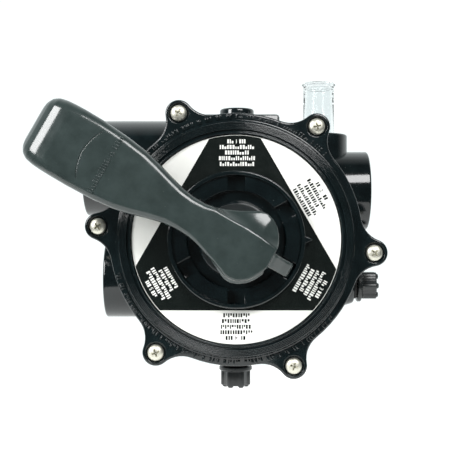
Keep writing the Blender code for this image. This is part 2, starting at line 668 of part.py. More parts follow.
def build():
    clear_scene()
    axis = bpy.data.objects.new("valve_axis", None)
    bpy.context.scene.collection.objects.link(axis)
    axis.rotation_euler = (pi / 2, 0, 0)

    def add(name, shape, finish, place=None):
        return add_piece(name, mesh_of(name, shape), finish, axis, place)

    add("valve_body", make_body(), BLACK_ABS)
    add("sector_walls", sector_walls(), BLACK_ABS)
    for place in port_places():
        add(place[0], make_port(*place), BLACK_ABS)
    add("spider_gasket", make_gasket(), RUBBER)
    add("cover", make_cover(), BLACK_ABS)
    add("cover_o_ring", torus(76.2 * MM, 1.5 * MM, 40, 6), RUBBER, Matrix.Translation((0, 0, 119 * MM)))
    add("position_label", make_label(), LABEL_WHITE)

    screw = mesh_of("cover_screw", make_screw())
    nut = mesh_of("cover_nut", make_nut())
    washer = mesh_of("cover_washer", make_washer())
    for k, centre in enumerate(ring_points(SCREW_CIRCLE)):
        at = Vector((centre.x, centre.y, 0))
        head = at + Vector((0, 0, COVER_FLANGE_FACE - COUNTERBORE_DEPTH + GAP))
        turn = Matrix.Rotation(radians(17 + 31 * k), 4, "Z")
        add_piece(f"cover_screw_{k + 1}", screw, STAINLESS, axis, Matrix.Translation(head) @ turn)
        under = at + Vector((0, 0, BODY_FLANGE_BACK - GAP))
        add_piece(f"cover_washer_{k + 1}", washer, STAINLESS, axis, Matrix.Translation(under))
        seat = under - Vector((0, 0, 1.6 * MM + GAP))
        add_piece(f"cover_nut_{k + 1}", nut, STAINLESS, axis, Matrix.Translation(seat))

    up = along((0, 1, 0), (GLASS_X, 0, PORT_AXIS))
    add("sight_glass", make_sight_glass(), CLEAR, up)
    glass_ring = up @ Matrix.Translation((0, 0, GLASS_SEAT + 1.25 * MM))
    add("sight_glass_o_ring", torus(10.9 * MM, 1.05 * MM), RUBBER, glass_ring)

    drain = along((0, -1, 0), (0, DRAIN_FACE, PORT_AXIS))
    side = along((1, 0, 0), (SIDE_PLUG_FACE, SIDE_PLUG_Y, PORT_AXIS))
    plug = mesh_of("plug", make_plug())
    plug_ring = mesh_of("plug_o_ring", torus(9.5 * MM, 1.15 * MM))
    for name, place in (("drain_plug", drain), ("side_plug", side)):
        add_piece(name, plug, BLACK_ABS, axis, place)
        add_piece(f"{name}_o_ring", plug_ring, RUBBER, axis, place @ Matrix.Translation((0, 0, 1.5 * MM)))

    add("rotor", make_rotor(), BLACK_ABS)
    add("spring", make_spring(), STAINLESS)
    spring_washer = mesh_of("spring_washer", make_spring_washer())
    add_piece("spring_washer_lower", spring_washer, STAINLESS, axis, Matrix.Translation((0, 0, 108.3 * MM)))
    add_piece("spring_washer_upper", spring_washer, STAINLESS, axis, Matrix.Translation((0, 0, 145.2 * MM)))
    stem_ring = mesh_of("stem_o_ring", torus(8.45 * MM, 0.8 * MM))
    for name, height in (("lower", 137.5), ("upper", 143)):
        add_piece(f"stem_o_ring_{name}", stem_ring, RUBBER, axis, Matrix.Translation((0, 0, height * MM)))
    add("thrust_washer", make_thrust_washer(), ACETAL)
    add("handle", make_handle(), GREY_BLACK_ABS, handle_place())
    add("handle_pin", rod(PIN_RADIUS, -PIN_LENGTH / 2, PIN_LENGTH / 2), STAINLESS, pin_place())


build()
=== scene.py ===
from math import acos, cos, pi, radians, sin, tau
from random import Random

import bmesh
import bpy
from mathutils import Matrix, Vector


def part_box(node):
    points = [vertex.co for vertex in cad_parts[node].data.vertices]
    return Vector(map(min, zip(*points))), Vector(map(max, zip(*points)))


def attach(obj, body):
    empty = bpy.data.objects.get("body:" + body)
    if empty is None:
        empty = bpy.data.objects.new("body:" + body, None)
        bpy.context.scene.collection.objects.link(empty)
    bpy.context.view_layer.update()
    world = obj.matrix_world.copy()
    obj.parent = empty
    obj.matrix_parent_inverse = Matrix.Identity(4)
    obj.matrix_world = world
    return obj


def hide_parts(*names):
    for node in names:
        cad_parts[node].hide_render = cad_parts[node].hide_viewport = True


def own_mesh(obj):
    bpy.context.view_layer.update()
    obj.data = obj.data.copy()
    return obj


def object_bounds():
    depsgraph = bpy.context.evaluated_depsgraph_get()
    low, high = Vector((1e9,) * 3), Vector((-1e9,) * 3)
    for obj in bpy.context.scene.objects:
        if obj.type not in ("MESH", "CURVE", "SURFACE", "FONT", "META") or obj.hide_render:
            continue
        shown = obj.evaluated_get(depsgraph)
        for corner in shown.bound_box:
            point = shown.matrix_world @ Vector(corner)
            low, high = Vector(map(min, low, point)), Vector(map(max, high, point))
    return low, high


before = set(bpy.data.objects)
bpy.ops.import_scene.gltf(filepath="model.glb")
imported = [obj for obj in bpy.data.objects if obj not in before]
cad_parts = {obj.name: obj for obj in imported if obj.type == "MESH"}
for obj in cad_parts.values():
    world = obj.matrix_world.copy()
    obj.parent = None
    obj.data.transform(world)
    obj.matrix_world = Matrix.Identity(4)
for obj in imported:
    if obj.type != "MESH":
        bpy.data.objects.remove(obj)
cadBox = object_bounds()
print("frame loaded:", len(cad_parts), "nodes")

# Pieces are drawn in millimetres in the valve's own frame: z runs along the valve axis from the tank ports
# to the handle, and y points up the sight glass. toRow stands that frame up and turns it to metres.
toRow = Matrix.Rotation(pi / 2, 4, "X") @ Matrix.Scale(0.001, 4)


def nodeBox(node):
    low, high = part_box(node)
    return Vector((low.x, low.z, -high.y)) * 1000, Vector((high.x, high.z, -low.y)) * 1000


def nodeMiddle(node):
    low, high = nodeBox(node)
    return (low + high) / 2


# ---- shapes


def arcPoints(centre, radius, start, end, steps):
    turn = radians(end - start) / steps
    first = radians(start)
    return [
        (centre[0] + radius * cos(first + turn * i), centre[1] + radius * sin(first + turn * i))
        for i in range(steps + 1)
    ]


def spun(profile, steps=128):
    # a turned solid about z from (radius, height) points
    bm = bmesh.new()
    verts = [bm.verts.new((r, 0, z)) for r, z in profile]
    edges = [bm.edges.new(pair) for pair in zip(verts, verts[1:])]
    if profile[0][0] > 0 or profile[-1][0] > 0:
        edges.append(bm.edges.new((verts[-1], verts[0])))
    bmesh.ops.spin(
        bm, geom=verts + edges, cent=(0, 0, 0), axis=(0, 0, 1), angle=tau, steps=steps, use_merge=True
    )
    bmesh.ops.remove_doubles(bm, verts=bm.verts[:], dist=0.0005)
    bmesh.ops.recalc_face_normals(bm, faces=bm.faces[:])
    return bm


def rod(radius, low, high, steps=64, edge=0.0):
    # a cylinder about z whose two rims are rounded by edge
    if not edge:
        return spun([(0, low), (radius, low), (radius, high), (0, high)], steps)
    lower = arcPoints((radius - edge, low + edge), edge, -90, 0, 4)
    upper = arcPoints((radius - edge, high - edge), edge, 0, 90, 4)
    return spun([(0, low)] + lower + upper + [(0, high)], steps)


def slab(outline, low, high, edge=0.0, segments=3):
    # an outline pulled up from low to high, its rims rounded by edge
    bm = bmesh.new()
    face = bm.faces.new([bm.verts.new((x, y, low)) for x, y in outline])
    pulled = bmesh.ops.extrude_face_region(bm, geom=[face])
    bmesh.ops.translate(
        bm, verts=[v for v in pulled["geom"] if isinstance(v, bmesh.types.BMVert)], vec=(0, 0, high - low)
    )
    bmesh.ops.recalc_face_normals(bm, faces=bm.faces[:])
    if edge:
        rims = [e for e in bm.edges if abs(e.verts[0].co.z - e.verts[1].co.z) < 0.001]
        bmesh.ops.bevel(
            bm, geom=rims, offset=edge, segments=segments, profile=0.5, affect="EDGES", material=-1
        )
    return bm


def block(low, high, edge=0.0):
    bm = bmesh.new()
    size = Vector(high) - Vector(low)
    place = Matrix.Translation((Vector(high) + Vector(low)) / 2) @ Matrix.Diagonal((*size, 1))
    bmesh.ops.create_cube(bm, size=1, matrix=place)
    if edge:
        bmesh.ops.bevel(
            bm, geom=bm.edges[:], offset=edge, segments=2, profile=0.5, affect="EDGES", material=-1
        )
    return bm


def oRing(ring, section, steps=96, sides=16):
    circle = [(ring + section * cos(tau * i / sides), section * sin(tau * i / sides)) for i in range(sides)]
    return spun(circle, steps)


def laid(bm, matrix):
    bmesh.ops.transform(bm, matrix=matrix, verts=bm.verts[:])
    return bm


def towards(direction, origin):
    turn = Vector((0, 0, 1)).rotation_difference(Vector(direction)).to_matrix().to_4x4()
    return Matrix.Translation(origin) @ turn


def turnedBy(degrees):
    return Matrix.Rotation(radians(degrees), 4, "Z")


def gathered(shapes):
    # several shapes in one bmesh, left as separate bodies
    whole = bmesh.new()
    for bm in shapes:
        part = bpy.data.meshes.new("part")
        bm.to_mesh(part)
        bm.free()
        whole.from_mesh(part)
        bpy.data.meshes.remove(part)
    return whole


def sketch(name, bm):
    mesh = bpy.data.meshes.new(name)
    bm.to_mesh(mesh)
    bm.free()
    obj = bpy.data.objects.new(name, mesh)
    bpy.context.collection.objects.link(obj)
    return obj


def settled(obj):
    # the object's mesh with its modifiers applied, as a bmesh; the object goes
    graph = bpy.context.evaluated_depsgraph_get()
    bm = bmesh.new()
    bm.from_object(obj, graph)
    bpy.data.objects.remove(obj)
    return bm


def combined(bm, how, tools, solver="EXACT"):
    for tool in tools:
        target, helper = sketch("target", bm), sketch("helper", tool)
        step = target.modifiers.new("combine", "BOOLEAN")
        step.operation, step.solver, step.object = how, solver, helper
        bm = settled(target)
        bpy.data.objects.remove(helper)
        bmesh.ops.remove_doubles(bm, verts=bm.verts[:], dist=0.001)
        bmesh.ops.dissolve_degenerate(bm, edges=bm.edges[:], dist=0.001)
    return bm


def showPiece(name, bm, materials, body, nodes, smoothAngle=32):
    laid(bm, toRow)
    mesh = bpy.data.meshes.new(name)
    bm.to_mesh(mesh)
    bm.free()
    piece = bpy.data.objects.new(name, mesh)
    bpy.context.collection.objects.link(piece)
    for material in materials:
        mesh.materials.append(material)
    mesh.shade_smooth()
    mesh.set_sharp_from_angle(angle=radians(smoothAngle))
    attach(piece, body)
    if nodes:
        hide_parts(*nodes)
    return piece


# ---- materials


def hexColour(code):
    parts = [int(code[i : i + 2], 16) / 255 for i in (1, 3, 5)]
    return (*[c / 12.92 if c <= 0.04045 else ((c + 0.055) / 1.055) ** 2.4 for c in parts], 1)


def perMetre(sizeMm):
    # texture scale for a feature of this size, on coordinates in metres
    return 1000 / sizeMm


def addNode(tree, kind, settings=None, links=None):
    node = tree.nodes.new(kind)
    for key, value in (settings or {}).items():
        if isinstance(key, int) or key in node.inputs:
            node.inputs[key].default_value = value
        else:
            setattr(node, key, value)
    for key, source in (links or {}).items():
        tree.links.new(source, node.inputs[key])
    return node


def newMaterial(name):
    material = bpy.data.materials.new(name)
    material.use_nodes = True
    tree = material.node_tree
    return material, tree, tree.nodes["Principled BSDF"]


def ramp(tree, source, low, high, start=0.0, end=1.0):
    # source's start to end range, stretched to low to high
    limits = {"From Min": start, "From Max": end, "To Min": low, "To Max": high}
    return addNode(tree, "ShaderNodeMapRange", limits, {"Value": source}).outputs["Result"]


def tint(tree, share, first, second):
    mix = addNode(tree, "ShaderNodeMix", {"data_type": "RGBA"}, {"Factor": share})
    for socket, value in ((6, first), (7, second)):
        if isinstance(value, str):
            mix.inputs[socket].default_value = hexColour(value)
        else:
            tree.links.new(value, mix.inputs[socket])
    return mix.outputs[2]


def mouldedPlastic(name, look):
    # injection-moulded plastic: slow clouding from the melt, a fine mould grain, hairline scuffs, dust specks
    material, tree, shader = newMaterial(name)
    where = addNode(tree, "ShaderNodeTexCoord").outputs["Object"]
    cloud = addNode(
        tree, "ShaderNodeTexNoise", {
            "Scale": perMetre(look["cloudMm"]), "Detail": 5, "Roughness": 0.6
        }, {"Vector": where}
    ).outputs["Fac"]
    grain = addNode(
        tree, "ShaderNodeTexNoise", {
            "Scale": perMetre(look["grainMm"]), "Detail": 2, "Roughness": 0.5
        }, {"Vector": where}
    ).outputs["Fac"]
    combed = addNode(
        tree, "ShaderNodeMapping", {"Rotation": (0.3, 0.7, 0.5), "Scale": (1, 22, 1)}, {"Vector": where}
    )
    scuffs = addNode(
        tree, "ShaderNodeTexNoise", {
            "Scale": perMetre(26), "Detail": 6, "Roughness": 0.7
        }, {"Vector": combed.outputs["Vector"]}
    ).outputs["Fac"]
    scuffShare = ramp(tree, scuffs, 0, look["scuff"], 0.6, 0.72)
    specks = addNode(tree, "ShaderNodeTexVoronoi", {"Scale": perMetre(5.5)}, {"Vector": where})
    speckShare = ramp(tree, specks.outputs["Distance"], look["dust"], 0, 0.02, 0.045)
    base = tint(tree, ramp(tree, cloud, 0, 1, 0.35, 0.65), look["dark"], look["light"])
    scuffed = tint(tree, scuffShare, base, look["scuffColour"])
    dusted = tint(tree, speckShare, scuffed, "#8f9593")
    edge = addNode(tree, "ShaderNodeNewGeometry").outputs["Pointiness"]
    worn = tint(tree, ramp(tree, edge, 0, look["wear"], 0.52, 0.6), dusted, look["scuffColour"])
    tree.links.new(worn, shader.inputs["Base Color"])
    uneven = addNode(
        tree, "ShaderNodeMath", {"operation": "MULTIPLY_ADD", 1: 0.35}, {0: scuffShare, 2: cloud}
    ).outputs[0]
    tree.links.new(ramp(tree, uneven, look["smooth"], look["rough"], 0.3, 0.8), shader.inputs["Roughness"])
    shader.inputs["IOR"].default_value = look["ior"]
    rounding = addNode(
        tree, "ShaderNodeBevel", {"samples": 6, "Radius": look["edgeMm"] / 1000}
    ).outputs["Normal"]
    grainBump = addNode(
        tree, "ShaderNodeBump", {
            "Strength": look["grainBump"], "Distance": 0.0002
        }, {"Height": grain, "Normal": rounding}
    ).outputs["Normal"]
    waves = addNode(
        tree, "ShaderNodeBump", {
            "Strength": look["sink"], "Distance": 0.001
        }, {"Height": cloud, "Normal": grainBump}
    ).outputs["Normal"]
    tree.links.new(waves, shader.inputs["Normal"])
    return material


# Black ABS, polished mould: deep black with sharp reflections that ripple a little
glossAbsLook = {
    "dark": "#081012",
    "light": "#0f191b",
    "scuffColour": "#263031",
    "cloudMm": 14,
    "grainMm": 0.9,
    "scuff": 0.25,
    "dust": 0.4,
    "wear": 0.2,
    "smooth": 0.08,
    "rough": 0.17,
    "ior": 1.54,
    "edgeMm": 0.9,
    "grainBump": 0.07,
    "sink": 0.06,
}
blackAbs = mouldedPlastic("blackAbsPolished", glossAbsLook)

# Black ABS from a spark-eroded mould: charcoal, soft sheen, handled parts a little lighter
satinAbsLook = {
    **glossAbsLook,
    "dark": "#2a3332",
    "light": "#323c3b",
    "scuffColour": "#465250",
    "grainMm": 0.5,
    "scuff": 0.25,
    "dust": 0.25,
    "wear": 0.0,
    "smooth": 0.16,
    "rough": 0.27,
    "edgeMm": 0.3,
    "grainBump": 0.08,
    "sink": 0.03,
}
satinAbs = mouldedPlastic("blackAbsSatin", satinAbsLook)
plugAbs = mouldedPlastic(
    "blackAbsHandPlug", {**glossAbsLook, "dark": "#141819", "light": "#1b2021", "smooth": 0.24, "rough": 0.4}
)
innerAbs = mouldedPlastic(
    "blackAbsInner", {**glossAbsLook, "dark": "#101314", "light": "#171b1c", "smooth": 0.3, "rough": 0.45}
)
acetal = mouldedPlastic(
    "acetalBlack", {**glossAbsLook, "dark": "#101314", "light": "#16191a", "smooth": 0.3, "rough": 0.42}
)


def stainlessSteel(name):
    # cold-headed stainless steel, tumbled: bright, slightly warm, softly mottled with fine handling marks
    material, tree, shader = newMaterial(name)
    where = addNode(tree, "ShaderNodeTexCoord").outputs["Object"]
    mottle = addNode(
        tree,
        "ShaderNodeTexNoise",
        {"Scale": perMetre(2.5), "Detail": 6, "Roughness": 0.65},
        {"Vector": where},
    )
    peen = addNode(tree, "ShaderNodeTexNoise", {"Scale": perMetre(0.35), "Detail": 3}, {"Vector": where})
    tree.links.new(tint(tree, mottle.outputs["Fac"], "#c3c1b2", "#e6e5da"), shader.inputs["Base Color"])
    shader.inputs["Metallic"].default_value = 1
    tree.links.new(ramp(tree, mottle.outputs["Fac"], 0.4, 0.55, 0.3, 0.7), shader.inputs["Roughness"])
    bump = addNode(
        tree, "ShaderNodeBump", {"Strength": 0.15, "Distance": 0.0001}, {"Height": peen.outputs["Fac"]}
    )
    tree.links.new(bump.outputs["Normal"], shader.inputs["Normal"])
    return material


def nitrileRubber(name):
    # black nitrile rubber: matt, with a faint bloom
    material, tree, shader = newMaterial(name)
    where = addNode(tree, "ShaderNodeTexCoord").outputs["Object"]
    bloom = addNode(
        tree, "ShaderNodeTexNoise", {"Scale": perMetre(6), "Detail": 6, "Roughness": 0.7}, {"Vector": where}
    )
    skin = addNode(tree, "ShaderNodeTexNoise", {"Scale": perMetre(0.3), "Detail": 2}, {"Vector": where})
    share = ramp(tree, bloom.outputs["Fac"], 0, 1, 0.4, 0.75)
    tree.links.new(tint(tree, share, "#121212", "#2c2c2b"), shader.inputs["Base Color"])
    tree.links.new(ramp(tree, bloom.outputs["Fac"], 0.5, 0.75), shader.inputs["Roughness"])
    bump = addNode(
        tree, "ShaderNodeBump", {"Strength": 0.2, "Distance": 0.0001}, {"Height": skin.outputs["Fac"]}
    )
    tree.links.new(bump.outputs["Normal"], shader.inputs["Normal"])
    return material


def clearPolycarbonate(name):
    # clear polycarbonate: glassy, faintly cool, with flow marks from the mould and slight haze
    material, tree, shader = newMaterial(name)
    where = addNode(tree, "ShaderNodeTexCoord").outputs["Object"]
    drawn = addNode(tree, "ShaderNodeMapping", {"Scale": (1, 1, 0.2)}, {"Vector": where})
    flow = addNode(
        tree, "ShaderNodeTexNoise", {"Scale": perMetre(5), "Detail": 3}, {"Vector": drawn.outputs["Vector"]}
    )
    shader.inputs["Transmission Weight"].default_value = 1
    shader.inputs["IOR"].default_value = 1.3
    tree.links.new(tint(tree, flow.outputs["Fac"], "#eceff0", "#f5f7f7"), shader.inputs["Base Color"])
    tree.links.new(ramp(tree, flow.outputs["Fac"], 0.02, 0.09, 0.4, 0.8), shader.inputs["Roughness"])
    bump = addNode(
        tree, "ShaderNodeBump", {"Strength": 0.05, "Distance": 0.0004}, {"Height": flow.outputs["Fac"]}
    )
    tree.links.new(bump.outputs["Normal"], shader.inputs["Normal"])
    return material


def printedFilm(name, first, second, smooth, rough):
    # polyester label film with ink: even colour, faint speckle, satin lacquer
    material, tree, shader = newMaterial(name)
    where = addNode(tree, "ShaderNodeTexCoord").outputs["Object"]
    patch = addNode(
        tree, "ShaderNodeTexNoise", {"Scale": perMetre(9), "Detail": 5, "Roughness": 0.65}, {"Vector": where}
    )
    speck = addNode(tree, "ShaderNodeTexNoise", {"Scale": perMetre(0.4), "Detail": 2}, {"Vector": where})
    dust = addNode(tree, "ShaderNodeTexVoronoi", {"Scale": perMetre(6)}, {"Vector": where})
    base = tint(tree, patch.outputs["Fac"], first, second)
    dusted = tint(tree, ramp(tree, dust.outputs["Distance"], 0.5, 0, 0.02, 0.04), base, "#8d908b")
    tree.links.new(dusted, shader.inputs["Base Color"])
    tree.links.new(ramp(tree, patch.outputs["Fac"], smooth, rough, 0.3, 0.7), shader.inputs["Roughness"])
    bump = addNode(
        tree, "ShaderNodeBump", {"Strength": 0.1, "Distance": 0.0001}, {"Height": speck.outputs["Fac"]}
    )
    tree.links.new(bump.outputs["Normal"], shader.inputs["Normal"])
    return material


steel = stainlessSteel("stainlessSteelTumbled")
rubber = nitrileRubber("nitrileRubber")
clearCup = clearPolycarbonate("clearPolycarbonate")
whiteFilm = printedFilm("labelFilmWhite", "#e9eae4", "#f1f2ee", 0.3, 0.42)
blackInk = printedFilm("labelInkBlack", "#0c1110", "#121816", 0.16, 0.26)
print("materials made")


# ---- flange outline, shared by body and cover

flange = {
    "screwCircle": nodeMiddle("cover_screw_1").xy.length,
    "firstLobe": 54.5,
    "lobes": 6,
    "lobeRadius": 9.8,
    "fillet": 20,
    "radius": 92.7,
    "fine": 7,
}


def lobedOutline(grow=0.0):
    lobe, fillet, base = flange["lobeRadius"] + grow, flange["fillet"] - grow, flange["radius"] + grow
    circle, reach, side, fine = flange["screwCircle"], base + fillet, lobe + fillet, flange["fine"]
    spread = acos((circle**2 + reach**2 - side**2) / (2 * circle * reach)) * 180 / pi
    lean = 180 - acos((circle**2 + side**2 - reach**2) / (2 * circle * side)) * 180 / pi
    outline = []
    for k in range(flange["lobes"]):
        middle = flange["firstLobe"] + 60 * k
        tip = turnedBy(middle) @ Vector((circle, 0, 0))
        before = turnedBy(middle - spread) @ Vector((reach, 0, 0))
        after = turnedBy(middle + spread) @ Vector((reach, 0, 0))
        outline += arcPoints(before, fillet, middle - spread + 180, middle - lean + 180, fine)
        outline += arcPoints(tip, lobe, middle - lean, middle + lean, 3 * fine)[1:-1]
        outline += arcPoints(after, fillet, middle + lean + 180, middle + spread + 180, fine)
        outline += arcPoints((0, 0), base, middle + spread, middle + 60 - spread, fine)[1:-1]
    return outline


screwPlaces = [nodeMiddle(f"cover_screw_{k + 1}") for k in range(flange["lobes"])]


# ---- body

body = {
    "radius": 83,
    "chamber": 78,
    "pocketFloor": 34,
    "seat": 88,
    "ledge": 82,
    "ledgeRadius": 65,
    "hub": 14,
    "wall": 5,
    "flangeBack": 111,
    "axisHeight": 70,
    "portRadius": 31,
    "pumpRadius": 37.5,
    "bore": 24,
    "threadPitch": 2.2,
    "threadDepth": 1.1,
    "socketDepth": 26,
    "passage": 17,
    "tankOffset": 62.5,
    "glassBoss": 22.5,
    "steps": 112,
}
bodyHigh = nodeBox("valve_body")[1]
wastePort, returnPort, pumpPort = (104, 38), (-102, -31), (-117.5, 56)


def portTube(end, radius):
    x, y = end
    side = 1 if x > 0 else -1
    length = abs(x) - 20
    tube = spun(
        [(0, 0), (radius, 0), (radius, length - 1.6)]
        + arcPoints((radius - 1.6, length - 1.6), 1.6, 0, 90, 4)
        + [(body["bore"] + 3.2, length), (body["bore"] + 2.6, length - 0.5), (0, length - 0.5)],
        80,
    )
    return laid(tube, towards((side, 0, 0), (x - side * length, y, body["axisHeight"])))


def threadedBore(mouth, outward, through):
    # socket with its parallel thread, drawn as rings, and the plain water passage behind it
    bore, pitch, depth = body["bore"], body["threadPitch"], body["threadDepth"]
    profile = [(0, 2), (bore + 2.4, 2), (bore + 2.4, 0), (bore, -2.2)]
    top = -2.6
    while top - pitch > -body["socketDepth"] + 2:
        profile += [
            (bore, top),
            (bore - depth, top - pitch * 0.4),
            (bore - depth, top - pitch * 0.6),
            (bore, top - pitch),
        ]
        top -= pitch
    profile += [
        (bore, top - 0.4), (bore, -body["socketDepth"]), (body["passage"], -body["socketDepth"] - 0.8)
    ]
    profile += [(body["passage"], -through), (0, -through)]
    return laid(spun(profile, 72), towards(outward, mouth))


def bodyShell():
    radius, back = body["radius"], body["flangeBack"]
    bowl = spun(
        [(0, 28), (20, 28), (22, 26.6), (30, 26.6), (32, 28)]
        + arcPoints((radius - 18, 46), 18, -90, 0, 10)
        + [(radius, back - 5)]
        + arcPoints((radius + 4, back - 4), 4, 180, 90, 5)
        + [(radius + 4, back + 1), (0, back + 1)],
        body["steps"],
    )
    outside = [slab(lobedOutline(-0.3), back, bodyHigh.z, 1.1)]
    outside += [portTube(wastePort, body["portRadius"]), portTube(returnPort, body["portRadius"])]
    outside.append(portTube(pumpPort, body["pumpRadius"]))
    for side in (-1, 1):
        tank = rod(body["portRadius"], 0, 44, 80, 1.4)
        outside.append(laid(tank, Matrix.Translation((0, side * body["tankOffset"], 0))))
    glass = nodeMiddle("sight_glass")
    up = towards((0, 1, 0), (glass.x, 0, body["axisHeight"]))
    glassBossTop = 82.5
    outside.append(laid(rod(body["glassBoss"], 36, glassBossTop, 72, 1.8), up))
    drain = nodeMiddle("drain_plug")
    down = towards((0, -1, 0), (drain.x, 0, body["axisHeight"]))
    drainBoss = [(0, 60), (24, 60), (22.5, 78), (19, 86), (14.5, 96), (14, 97.4), (13.4, 98), (0, 98)]
    outside.append(laid(spun(drainBoss, 64), down))
    sidePlug = nodeMiddle("side_plug")
    right = towards((1, 0, 0), (0, sidePlug.y, body["axisHeight"]))
    outside.append(
        laid(spun([(0, 60), (22, 60), (20, 73), (14.5, 91.4), (14, 92.4), (13.4, 93), (0, 93)], 64), right)
    )
    outside.append(block((-26, 60, 50), (34, 97, 90), 2.5))
    outside.append(laid(rod(13.5, 60, bodyHigh.y, 56, 2), towards((0, 1, 0), (1, 0, body["axisHeight"]))))
    for k in range(flange["lobes"]):
        web = slab(
            [(80, back + 0.5), (94, back + 0.5), (93, back - 2), (84, back - 15), (80, back - 15)],
            -2,
            2,
            0.8,
            2,
        )
        laid(web, Matrix.Rotation(pi / 2, 4, "X"))
        outside.append(laid(web, turnedBy(flange["firstLobe"] + 60 * k)))
    return combined(bowl, "UNION", outside, "MANIFOLD")


def bodyHollows():
    high = body["seat"] + 1
    chamber, ledge, hub = body["chamber"], body["ledgeRadius"], body["hub"]
    space = [
        (hub, body["pocketFloor"]),
        (chamber, body["pocketFloor"]),
        (chamber, body["ledge"]),
        (ledge, body["ledge"]),
    ]
    pockets = spun(space + [(ledge, high), (hub, high)], 96)
    bars = [
        laid(block((-100, -body["wall"] / 2, 30), (100, body["wall"] / 2, high + 2)), turnedBy(60 * k))
        for k in range(3)
    ]
    hollows = [rod(chamber, body["seat"], bodyHigh.z + 1, 96), combined(pockets, "DIFFERENCE", bars)]
    for (x, y), side in ((wastePort, 1), (returnPort, -1), (pumpPort, -1)):
        hollows.append(threadedBore((x, y, body["axisHeight"]), (side, 0, 0), abs(x) - 62))
    for side in (-1, 1):
        hollows.append(threadedBore((0, side * body["tankOffset"], 0), (0, 0, -1), body["pocketFloor"] + 1))
    glass, drain, sidePlug = nodeMiddle("sight_glass"), nodeMiddle("drain_plug"), nodeMiddle("side_plug")
    up = towards((0, 1, 0), (glass.x, 0, body["axisHeight"]))
    wide = (nodeBox("sight_glass_o_ring")[1].x - nodeBox("sight_glass_o_ring")[0].x) / 2 + 0.7
    hollows.append(
        laid(spun([(0, 40), (7.5, 40), (7.5, 70), (wide, 70), (wide, 81.6), (wide + 1, 90), (0, 90)], 48), up)
    )
    hollows.append(laid(rod(7, 70, 100, 32), towards((0, -1, 0), (drain.x, 0, body["axisHeight"]))))
    hollows.append(laid(rod(7, 60, 100, 32), towards((1, 0, 0), (0, sidePlug.y, body["axisHeight"]))))
    for place in screwPlaces:
        screwHole = rod(3.3, body["flangeBack"] - 1, bodyHigh.z + 1, 24)
        hollows.append(laid(screwHole, Matrix.Translation((place.x, place.y, 0))))
    riser = arcPoints((0, 0), 62, 126, 174, 8) + arcPoints((0, 0), 76, 174, 126, 8)
    hollows.append(slab(riser, 78, 92))
    return hollows


shell = combined(bodyShell(), "DIFFERENCE", bodyHollows(), "MANIFOLD")
portNodes = ["waste_port", "return_port", "pump_port", "tank_port_upper", "tank_port_lower"]
showPiece(
    "valveBody", shell, [blackAbs], "valve", ["valve_body", "sector_walls", *portNodes], 28
)
print("body made")


# ---- cover

cover = {
    "flangeBack": 123.3,
    "flangeFace": 135,
    "labelFloor": 140.4,
    "ridgeTop": 143,
    "ridgeInner": 76.6,
    "ridgeStart": 79.6,
    "ridgeEnd": 84.9,
    "ridgeDrop": 1.2,
    "ridges": 5,
    "ridgeOuter": 87,
    "bossRadius": 49.6,
    "bossTop": 149,
    "teethRadius": 46.4,
    "teethTop": 147,
    "recessRadius": 35.4,
    "recessFloor": 139,
    "towerRadius": 27,
    "slotWidth": 12.6,
    "counterbore": 7.3,
    "counterboreDepth": 1.7,
    "steps": 180,
}


def ridgeProfile():
    # from the outer edge inwards: a gently sloping band of fine ridges, a groove, and a plain inner rim
    top, inner = cover["ridgeTop"], cover["ridgeInner"]
    pitch = (cover["ridgeEnd"] - cover["ridgeStart"]) / cover["ridges"]
    points = [
        (cover["ridgeEnd"] + 0.5, top - cover["ridgeDrop"] - 0.5),
        (cover["ridgeEnd"] + 0.15, top - cover["ridgeDrop"]),
    ]
    for k in reversed(range(cover["ridges"])):
        near = cover["ridgeStart"] + pitch * k
        height = top - cover["ridgeDrop"] * (k + 0.5) / cover["ridges"]
        points += [
            (near + pitch * 0.95, height - 0.45), (near + pitch * 0.7, height), (near + pitch * 0.3, height)
        ]
        points.append((near + pitch * 0.05, height - 0.45))
    points += [(cover["ridgeStart"] - 0.1, top - 1.6), (inner + 1.7, top - 1.6), (inner + 1.4, top - 0.3)]
    return points + [(inner + 1.1, top), (inner + 0.3, top), (inner, top - 0.3)]


def coverCrown():
    outer, tower = cover["ridgeOuter"], cover["towerRadius"]
    floor, boss, bossTop = cover["labelFloor"], cover["bossRadius"], cover["bossTop"]
    teeth, teethTop, recess = cover["teethRadius"], cover["teethTop"], cover["recessRadius"]
    profile = [
        (72, 114),
        (77.2, 114),
        (77.7, 114.5),
        (77.7, 117),
        (74.5, 117),
        (74.5, 121),
        (77.7, 121),
        (77.7, 124.3),
    ]
    profile += [(outer + 1, 124.3), (outer + 1, 134), (outer + 0.6, 135)]
    profile += arcPoints((outer + 0.6, 136.2), 1.2, -90, -160, 4)
    profile += ridgeProfile()
    profile += [(cover["ridgeInner"], floor + 0.8), (cover["ridgeInner"] - 0.3, floor)]
    profile += [(boss + 0.8, floor)] + arcPoints((boss - 0.9, bossTop - 0.9), 0.9, 0, 90, 4)
    profile += arcPoints((teeth + 0.7, bossTop - 0.7), 0.7, 90, 180, 3)
    profile += [(teeth, teethTop)] + arcPoints((recess + 0.8, teethTop - 0.8), 0.8, 90, 180, 3)
    profile += [(recess, cover["recessFloor"]), (tower + 0.8, cover["recessFloor"])]
    profile += arcPoints((tower - 0.8, 151.2), 0.8, 0, 90, 3)
    profile += [(9.4, 152), (9.4, 128), (13.5, 128), (13.5, 147), (22.5, 147), (22.5, 134), (72, 134)]
    return spun(profile, cover["steps"])


